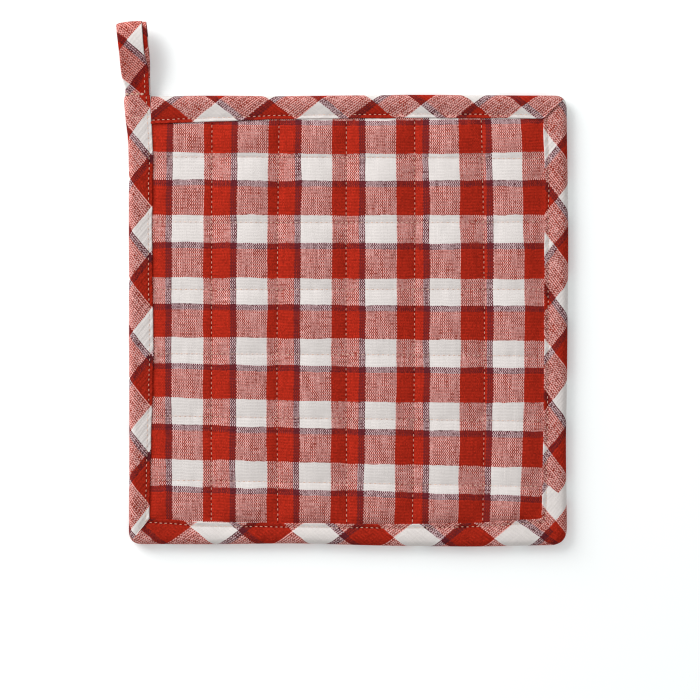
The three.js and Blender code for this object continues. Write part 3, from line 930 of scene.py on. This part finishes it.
tip = LOOP_REACH - LOOP_TAPE / 2
back_height = LOOP_TAPE / 2
front_height = BINDING_HEIGHT - LOOP_TAPE / 2
fold_height = (LOOP_ARCH + LOOP_SPRING) / 2
pull = (LOOP_ARCH - LOOP_SPRING) / 3
near, far = LOOP_SHOULDER / 3, LOOP_SHOULDER * 2 / 3
crest, turn, foot = (LOOP_SHOULDER, LOOP_ARCH), (tip, fold_height), (LOOP_SHOULDER, LOOP_SPRING)
lifted = (near, front_height + LOOP_LIFT)
front_leg = smooth_bend((0, front_height), lifted, (far, LOOP_ARCH), crest, FRONT_LEG_POINTS)
upper_fold = smooth_bend(crest, (tip - pull, LOOP_ARCH), (tip, fold_height + pull), turn, BEND_POINTS)
lower_fold = smooth_bend(turn, (tip, fold_height - pull), (tip - pull, LOOP_SPRING), foot, BEND_POINTS)
back_leg = smooth_bend(foot, (far, LOOP_SPRING), (near, back_height), (0, back_height), BEND_POINTS)
loop_line = np.concatenate([front_leg, upper_fold[1:], lower_fold[1:], back_leg[1:]])
loop_line, loop_run = even_steps(loop_line, LOOP_STATIONS)
heading = np.gradient(loop_line, axis=0)
heading = heading / np.linalg.norm(heading, axis=1, keepdims=True)
loop_at = np.clip(loop_line[:, 0], 0, LOOP_REACH)
loop_left, loop_front, loop_right = (
    np.interp(loop_at, LOOP_EDGES["along"], LOOP_EDGES[column]) for column in ("left", "front", "right")
)
loop_in, loop_up, loop_unrolled = folded_tape(
    loop_front - loop_left, loop_right - loop_left, LOOP_TAPE, LOOP_CLOTH
)
off = loop_up - LOOP_TAPE / 2
slant = LOOP_SLANT_MIDDLE - np.exp(-loop_in / LOOP_SLANT_REACH)
slant = slant * LOOP_SLANT * (loop_at / LOOP_REACH)[:, None]
loop_x = loop_left[:, None] + loop_in
loop_y = loop_root + loop_line[:, :1] - LOOP_PRESS * off * heading[:, 1:] + slant
loop_z = loop_line[:, 1:] + off * heading[:, :1]

loop_repeats = (loop_run - LOOP_WHITE["along"]) / LOOP_WHITE["repeat"]
loop_outwards = LOOP_WHITE["inwards"] + turn_extra(LOOP_TAPE) - loop_unrolled
loop_outwards = loop_outwards / LOOP_WHITE["repeat"]
loop_counts = bias_counts(loop_repeats[:, None], loop_outwards, turned=True)
loop_sides, loop_caps = tube_faces(LOOP_STATIONS, loop_in.shape[1])
loop_corners = np.concatenate([loop_sides.ravel()] + [np.array(cap) for cap in loop_caps])
loop = make_piece(
    "hanging_loop_tape",
    placed(loop_x, loop_y, loop_z),
    loop_sides.tolist() + loop_caps,
    checked_cotton("checked_cotton_loop", [], **{**TAPE_CLOTH, "tint": LOOP_TINT}),
    {"yarn_counts": loop_counts.reshape(-1, 2)[loop_corners]},
)
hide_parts("hanging_loop")
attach(loop, "root")

# The sewing: cream cotton thread in lockstitch, with the same dashes on the front and the back. It
# quilts the pad and holds down both flaps of the binding. Short rows cross the root of the loop and the
# left strip below it, and one runs up the loop's right edge.
THREAD = 0.28
STITCH_LENGTH = 1.3
STITCH_SHIFT = 0.06
STITCH_LENGTHS = (0.85, 1.1)
STITCH_SLIP = 0.09
STITCH_ARCH = 0.16
STITCH_SINK = 0.42
STITCH_TAPER = 0.8
THREAD_RINGS = 6
THREAD_SIDES = 6
FIRST_SEED = 100
THREAD_PALE = (0.76, 0.52, 0.40, 1)
THREAD_DEEP = (0.62, 0.41, 0.31, 1)
THREAD_PATCHES = {"Scale": 900.0, "Detail": 2.0}
THREAD_TWIST = 1500.0
TWIST_BUMP = {"Strength": 0.5, "Distance": 0.00005}
THREAD_ROUGHNESS = 0.75
THREAD_SPECULAR = 0.25
LEFT_ROW_AT = 93.4
LOOP_ROWS_AT = (0.3, 0.6, 0.9)
LOOP_ROW_ENDS = (-103.2, -93.6)
LOOP_EDGE_ROW = {"x": -93.9, "from": 0.5, "to": 10.0}
ROW_POINTS = 20


def stitch_ends(line, pitch, length, seed):
    """The two ends of each stitch along a line of points: evenly spaced as seen from above, and a
    little uneven in place and length."""
    run = np.concatenate([[0], np.cumsum(np.hypot(*np.diff(line[:, :2], axis=0).T))])
    count = int(run[-1] / (pitch * MM))
    draw = np.random.default_rng(seed)
    shift = draw.uniform(-STITCH_SHIFT, STITCH_SHIFT, count)
    middle = (np.arange(count) + 0.5 + shift) * pitch * MM
    reach = length * MM / 2 * draw.uniform(*STITCH_LENGTHS, count)
    both = [
        np.stack([np.interp(at, run, column) for column in line.T], axis=-1)
        for at in (middle - reach, middle + reach)
    ]
    slip = draw.uniform(-STITCH_SLIP, STITCH_SLIP, (2, count, 1)) * MM
    side = np.cross(both[1] - both[0], [0, 0, 1])
    side = side / np.linalg.norm(side, axis=1, keepdims=True)
    return both[0] + slip[0] * side, both[1] + slip[1] * side


def thread_dashes(first, last, facing):
    """Every stitch as a small tube from its first to its last end, bowed up in the middle and sunk
    into the cloth at both ends, where it also narrows. facing is 1 on the front and -1 behind."""
    share = np.linspace(-1, 1, THREAD_RINGS)
    angle = 2 * np.pi * np.arange(THREAD_SIDES) / THREAD_SIDES
    forward = last - first
    forward = forward / np.linalg.norm(forward, axis=1, keepdims=True)
    up = np.array([0, 0, facing], float)
    side = np.cross(forward, up)
    half = (last - first)[:, None, :] / 2 * share[None, :, None]
    arch = (STITCH_ARCH - STITCH_SINK * share**4) * THREAD * MM
    centre = ((first + last) / 2)[:, None, :] + half + arch[None, :, None] * up
    radius = THREAD / 2 * MM * np.sqrt(1 - STITCH_TAPER * share**2)
    ring = np.cos(angle)[None, :, None] * side[:, None, :] + np.sin(angle)[None, :, None] * up
    points = centre[:, :, None, :] + radius[None, :, None, None] * ring[:, None, :, :]
    return points.reshape(-1, 3)


def dash_faces(count):
    """Faces of one closed dash, repeated for all of them."""
    number = np.arange(THREAD_RINGS * THREAD_SIDES).reshape(THREAD_RINGS, THREAD_SIDES)
    wrapped = np.concatenate([number, number[:, :1]], axis=1)
    shift = (np.arange(count) * number.size)[:, None, None]
    tubes = (grid_faces(wrapped) + shift).reshape(-1, 4).tolist()
    heads = (number[0, ::-1] + shift[:, 0]).tolist()
    tails = (number[-1] + shift[:, 0]).tolist()
    return tubes + heads + tails


def cream_thread():
    """Twisted cotton thread: a cream that varies along its length, with fine slanting ridges."""
    material, shader, start = new_material("cream_thread")
    place = {"Vector": start.add("ShaderNodeTexCoord", None, None, "Object")}
    patches = start.add("ShaderNodeTexNoise", None, {**place, **THREAD_PATCHES})
    colour = start.blend(patches, THREAD_PALE, THREAD_DEEP)
    slanting = {"bands_direction": "DIAGONAL"}
    ridges = start.add("ShaderNodeTexWave", slanting, {**place, "Scale": THREAD_TWIST}, 1)
    bump = start.add("ShaderNodeBump", None, {**TWIST_BUMP, "Height": ridges})
    start.feed(shader, {"Base Color": colour, "Normal": bump})
    start.feed(shader, {"Roughness": THREAD_ROUGHNESS, "Specular IOR Level": THREAD_SPECULAR})
    return material


thread_material = cream_thread()


def sewn(name, rows):
    """One piece of sewing from rows of stitches, each a line of points and the side it faces."""
    dashes = []
    for seed, (line, facing) in enumerate(rows, FIRST_SEED):
        first, last = stitch_ends(line, STITCH_PITCH, STITCH_LENGTH, seed)
        dashes.append(thread_dashes(first, last, facing))
    points = np.concatenate(dashes)
    count = len(points) // (THREAD_RINGS * THREAD_SIDES)
    piece = make_piece(name, points, dash_faces(count), thread_material, {})
    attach(piece, "root")
    return piece


up_lines = RIM_LINES + CELL_LINES * np.arange(1, PUFF_COLUMNS)
across_lines = RIM_LINES + CELL_LINES * np.arange(1, PUFF_ROWS)
inside_rim = slice(RIM_LINES, -RIM_LINES)
quilting_rows = []
for grid, facing in ((front_grid, 1), (back_grid, -1)):
    quilting_rows += [(grid[inside_rim, k], facing) for k in up_lines]
    quilting_rows += [(grid[k, inside_rim], facing) for k in across_lines]
sewn("quilting_stitches", quilting_rows)

left_heights = fold_line[first_of["left"]:, 1]
across_station = first_of["left"] + np.argmin(np.abs(left_heights - LEFT_ROW_AT))
across_strip = slice(2, len(EDGE_STEPS) + FLAP_STEPS + 3)
binding_rows = [(binding_points[:, front_row], 1), (binding_points[:, back_row], -1)]
binding_rows.append((binding_points[across_station, across_strip], 1))
binding_sewing = sewn("binding_stitches", binding_rows)


def on_front_leg(x, at):
    """Points on top of the loop's front leg, at places across it and distances from its root."""
    return placed(x, loop_root + at, np.interp(at, front_leg[:, 0], front_leg[:, 1] + LOOP_TAPE / 2))


row_x = np.linspace(*LOOP_ROW_ENDS, ROW_POINTS)
edge_at = np.linspace(LOOP_EDGE_ROW["from"], LOOP_EDGE_ROW["to"], ROW_POINTS)
loop_rows = [(on_front_leg(row_x, at), 1) for at in LOOP_ROWS_AT]
loop_rows.append((on_front_leg(LOOP_EDGE_ROW["x"], edge_at), 1))
loop_sewing = sewn("loop_stitches", loop_rows)

# The studio: a plain white table, one broad soft light from the upper left and an even fill, seen
# from straight above.
FRAME_WIDTH = 323.75
VIEW_MIDDLE = (0.925, -13.875)
VIEW_HEIGHT = 5.0
LENS = 150.0
SENSOR = 36.0
KEY_PLACE = (-0.95, 0.85, 0.62)
KEY_SIZE = 1.05
KEY_POWER = 24.6
FILL = 0.61
TABLE_HALF = 2
TABLE_WHITE = (0.86, 0.885, 0.885, 1)
TABLE_GLOW = (0.98, 1, 1, 1)
TABLE_GLOW_STRENGTH = 0.172
TABLE_ROUGHNESS = 0.9
TABLE_SPECULAR = 0.1
FILM_SOFTNESS = 1.2

table_mesh = bpy.data.meshes.new("table_top")
table_corners = [(TABLE_HALF * x, TABLE_HALF * y, 0) for x, y in ((-1, -1), (1, -1), (1, 1), (-1, 1))]
table_mesh.from_pydata(table_corners, [], [(0, 1, 2, 3)])
table = bpy.data.objects.new("table_top", table_mesh)
bpy.context.scene.collection.objects.link(table)
table_material, table_shader, table_start = new_material("white_table")
table_start.feed(table_shader, {"Base Color": TABLE_WHITE, "Roughness": TABLE_ROUGHNESS})
table_start.feed(table_shader, {"Emission Color": TABLE_GLOW, "Emission Strength": TABLE_GLOW_STRENGTH})
table_start.feed(table_shader, {"Specular IOR Level": TABLE_SPECULAR})
table_mesh.materials.append(table_material)

world = bpy.data.worlds.new("studio_fill")
world.use_nodes = True
world.node_tree.nodes["Background"].inputs["Color"].default_value = (1, 1, 1, 1)
world.node_tree.nodes["Background"].inputs["Strength"].default_value = FILL
bpy.context.scene.world = world

view_at = Vector(placed(*VIEW_MIDDLE, VIEW_HEIGHT))
key_data = bpy.data.lights.new("key_light", "AREA")
key_data.energy = KEY_POWER
key_data.size = KEY_SIZE
key = bpy.data.objects.new("key_light", key_data)
key.location = view_at + Vector(KEY_PLACE)
key.rotation_euler = (-Vector(KEY_PLACE)).to_track_quat("-Z", "Y").to_euler()
bpy.context.scene.collection.objects.link(key)

camera_data = bpy.data.cameras.new("camera")
camera_data.lens = LENS
camera_data.sensor_width = SENSOR
camera = bpy.data.objects.new("camera", camera_data)
camera.location = view_at + Vector((0, 0, FRAME_WIDTH * MM * LENS / SENSOR))
bpy.context.scene.collection.objects.link(camera)
bpy.context.scene.camera = camera
bpy.context.scene.view_settings.view_transform = "Standard"
# The yarns are about a pixel wide: a soft film or a smoothed guide pass would wipe the weave out.
bpy.context.scene.cycles.filter_width = FILM_SOFTNESS
bpy.context.scene.cycles.denoising_prefilter = "NONE"
